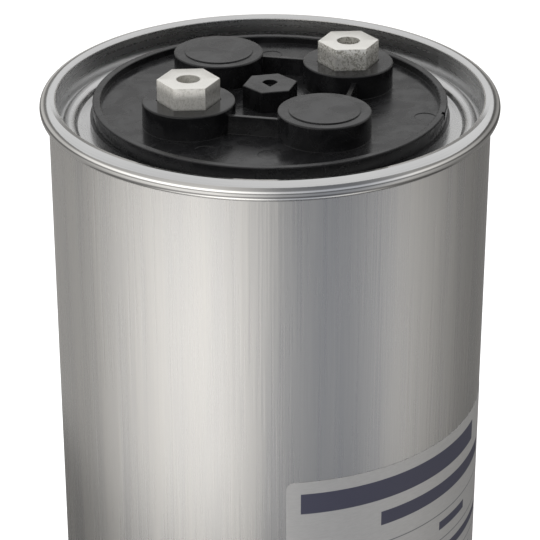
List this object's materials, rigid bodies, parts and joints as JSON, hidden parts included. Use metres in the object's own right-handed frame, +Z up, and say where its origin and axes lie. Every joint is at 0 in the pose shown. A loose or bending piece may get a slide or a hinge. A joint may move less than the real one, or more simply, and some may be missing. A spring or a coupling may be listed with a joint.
{
  "type": "dc link capacitor",
  "caption": "Film capacitor in a round aluminium can with a rolled lid seam, a black bossed terminal plate and hexagonal screw terminals.",
  "frame": {"origin": "centre of the can's flat base face", "axes": "+Z up through the lid, the two screw terminals on the X axis, the two blank bosses on the Y axis"},
  "size_m": [0.1206, 0.1206, 0.2338],
  "materials": {
    "can_aluminium": "drawn, satin with fine lengthwise streaks",
    "lid_aluminium": "bright rolled sheet",
    "black_moulding": "black moulding, fine satin",
    "tinned_brass": "matt tin plate, scuffed",
    "seal_rubber": "plain",
    "natural_moulding": "natural, unpigmented",
    "plated_steel": "bright zinc plate",
    "metallised_film": "metallised film, dull silver",
    "core_plastic": "plain",
    "sprayed_zinc": "coarse sprayed metal",
    "insulating_film": "plain",
    "tinned_copper": "bright tin plate",
    "label_foil": "matt foil"
  },
  "bodies": {
    "root": {"base_cup": "natural_moulding", "can": "can_aluminium", "core_tube_bottom": "core_plastic", "core_tube_middle": "core_plastic", "core_tube_top": "core_plastic", "end_spray_bottom_lower": "sprayed_zinc", "end_spray_bottom_upper": "sprayed_zinc", "end_spray_middle_lower": "sprayed_zinc", "end_spray_middle_upper": "sprayed_zinc", "end_spray_top_lower": "sprayed_zinc", "end_spray_top_upper": "sprayed_zinc", "fill_plug": "black_moulding", "film_roll_bottom": "metallised_film", "film_roll_middle": "metallised_film", "film_roll_top": "metallised_film", "insulating_wrap": "insulating_film", "label": "label_foil", "lid": "lid_aluminium", "plug_seal": "seal_rubber", "post_bush_a": "natural_moulding", "post_bush_b": "natural_moulding", "post_nuts": "plated_steel", "post_seal_a": "seal_rubber", "post_seal_b": "seal_rubber", "post_washers": "plated_steel", "seam_gasket": "seal_rubber", "strap_a": "tinned_copper", "strap_b": "tinned_copper", "strap_sleeve_a": "insulating_film", "strap_sleeve_b": "insulating_film", "terminal_plate": "black_moulding", "terminal_post_a": "tinned_brass", "terminal_post_b": "tinned_brass", "top_spacer": "natural_moulding"}
  },
  "joints": []
}
